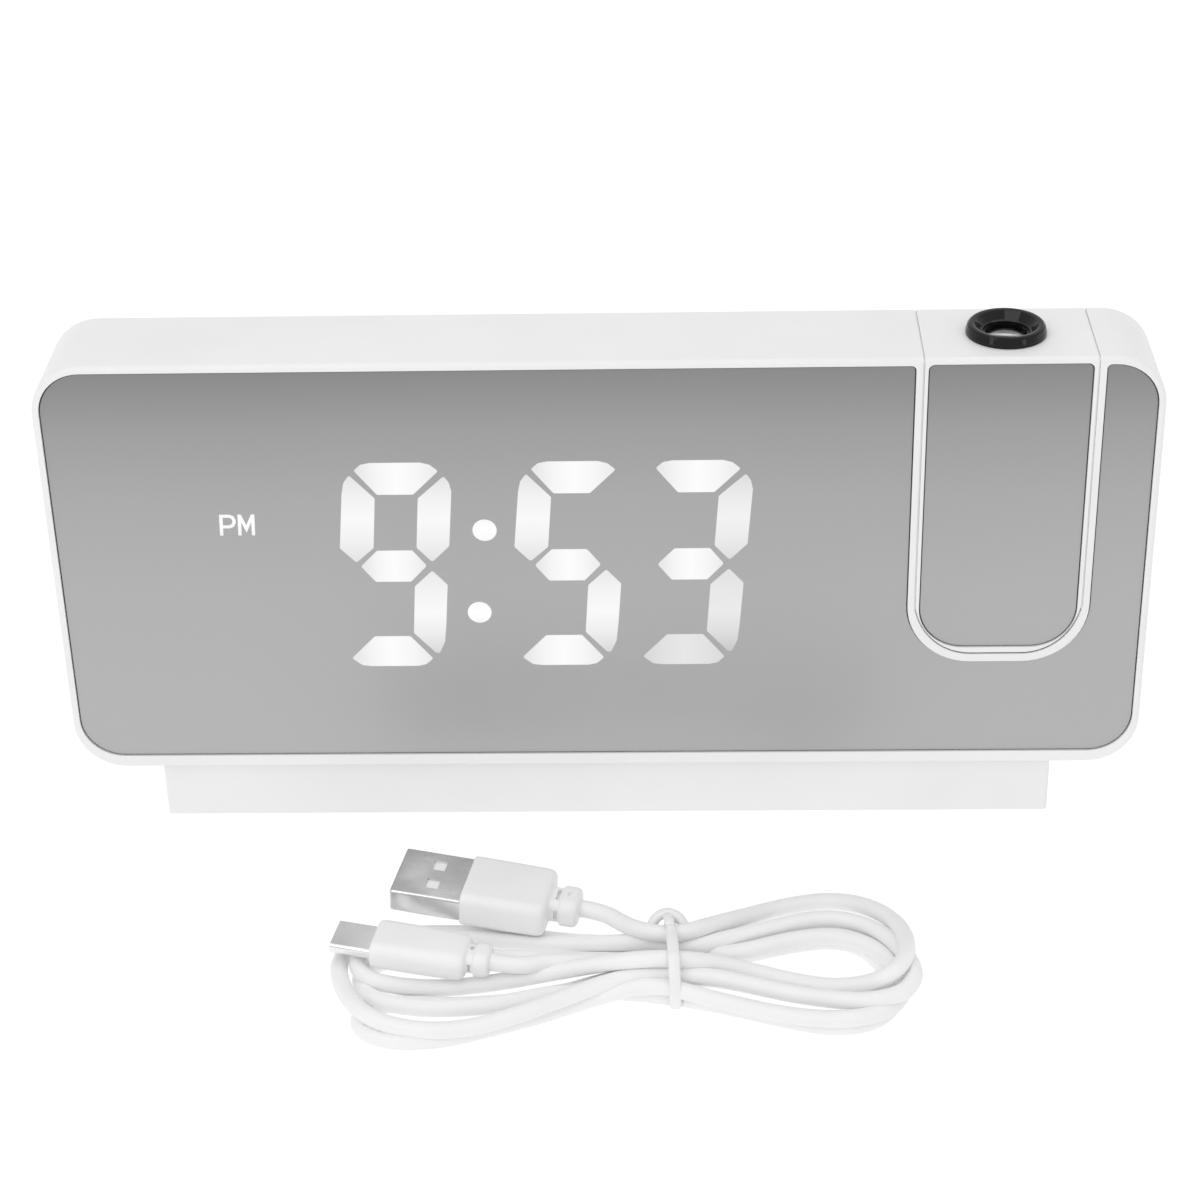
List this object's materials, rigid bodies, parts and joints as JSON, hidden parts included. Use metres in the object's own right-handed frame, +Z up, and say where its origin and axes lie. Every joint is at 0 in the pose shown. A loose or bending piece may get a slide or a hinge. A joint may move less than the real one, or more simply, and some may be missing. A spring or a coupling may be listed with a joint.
{
  "type": "projection alarm clock",
  "caption": "Mirror-faced digital alarm clock on a wedge stand, with a swinging projector arm set into its right side and a tied USB cable lying in front.",
  "frame": {"origin": "middle of the clock's footprint on the surface it stands on, the cable left out", "axes": "+X to the clock's right-hand end as seen from the front, +Y backwards away from the mirror, +Z up"},
  "size_m": [0.1922, 0.1041, 0.0937],
  "materials": {
    "case_white": "satin white ABS",
    "front_mirror": "half-silvered acrylic",
    "diffuser": "milky film",
    "reflector_white": "matt white",
    "circuit_board": "solder mask",
    "led_body": "LED package",
    "black_plastic": "gloss black",
    "steel": "plated",
    "plated_shell": "bright nickel plate",
    "lens_glass": "clear",
    "rubber_grey": "matt",
    "lead_sleeve": "soft sleeve",
    "cable_white": "soft white PVC",
    "white_insulator": "matt white"
  },
  "bodies": {
    "clock": {"front_housing": "case_white", "rear_cover": "case_white", "mirror_lens": "front_mirror", "diffuser_film": "diffuser", "segment_reflector": "reflector_white", "display_board": "circuit_board", "display_leds": "led_body", "control_chip": "black_plastic", "board_components": "black_plastic", "tact_switches": "black_plastic", "board_screws": "steel", "power_board": "circuit_board", "power_socket_shell": "plated_shell", "power_socket_tongue": "black_plastic", "battery_holder": "black_plastic", "coin_cell": "steel", "battery_contact": "steel", "battery_door": "case_white", "battery_door_screw": "steel", "buzzer": "black_plastic", "rear_screws": "steel", "pivot_pin_left": "steel", "pivot_pin_right": "steel", "projector_lead": "lead_sleeve", "stand_base": "case_white", "base_plate": "case_white", "base_screws": "steel", "stand_screws": "steel", "rubber_feet": "rubber_grey", "usb_a_shell": "plated_shell", "usb_a_tongue": "white_insulator", "usb_a_overmould": "cable_white", "micro_usb_shell": "plated_shell", "micro_usb_tongue": "black_plastic", "micro_usb_overmould": "cable_white", "cable_lead_a": "cable_white", "cable_lead_b": "cable_white", "cable_hank": "cable_white", "cable_tie": "cable_white"},
    "projector_arm": {"arm_housing": "case_white", "arm_rear_cover": "case_white", "arm_mirror": "front_mirror", "arm_screws": "steel", "friction_washer": "rubber_grey", "arm_lead": "lead_sleeve", "projector_board": "circuit_board", "projector_led": "led_body", "condenser_lens": "lens_glass", "projection_slide": "lens_glass", "lens_barrel": "black_plastic"},
    "focus_ring": {"focus_ring": "black_plastic"},
    "lens_cell": {"lens_cell": "black_plastic", "objective_lens": "lens_glass"},
    "button_set": {"button_set": "case_white"},
    "button_alarm": {"button_alarm": "case_white"},
    "button_down": {"button_down": "case_white"},
    "button_up": {"button_up": "case_white"},
    "button_light": {"button_light": "case_white"}
  },
  "joints": [
    {"name": "arm_tilt", "type": "hinge", "parent": "clock", "child": "projector_arm", "pos_m": [0.0697, -0.00755, 0.04647], "axis": [1, 0, 0], "range_deg": [-45, 45]},
    {"name": "focus_turn", "type": "hinge", "parent": "projector_arm", "child": "focus_ring", "pos_m": [0.0697, -0.00437, 0.09186], "axis": [0, 0.0698, 0.9976], "range_deg": [-130, 130]},
    {"name": "lens_slide", "type": "slide", "parent": "projector_arm", "child": "lens_cell", "axis": [0, 0.0698, 0.9976], "range_m": [-0.00075, 0.00075]},
    {"name": "button_set_press", "type": "slide", "parent": "clock", "child": "button_set", "axis": [0, -0.9976, 0.0698], "range_m": [0, 0.0006], "stiffness_N_per_m": 800},
    {"name": "button_alarm_press", "type": "slide", "parent": "clock", "child": "button_alarm", "axis": [0, -0.9976, 0.0698], "range_m": [0, 0.0006], "stiffness_N_per_m": 800},
    {"name": "button_down_press", "type": "slide", "parent": "clock", "child": "button_down", "axis": [0, -0.9976, 0.0698], "range_m": [0, 0.0006], "stiffness_N_per_m": 800},
    {"name": "button_up_press", "type": "slide", "parent": "clock", "child": "button_up", "axis": [0, -0.9976, 0.0698], "range_m": [0, 0.0006], "stiffness_N_per_m": 800},
    {"name": "button_light_press", "type": "slide", "parent": "clock", "child": "button_light", "axis": [0, -0.9976, 0.0698], "range_m": [0, 0.0006], "stiffness_N_per_m": 800}
  ],
  "couplings": [
    {"joint": "focus_turn", "follows": "lens_slide", "rad_per_m": 2801.1}
  ]
}
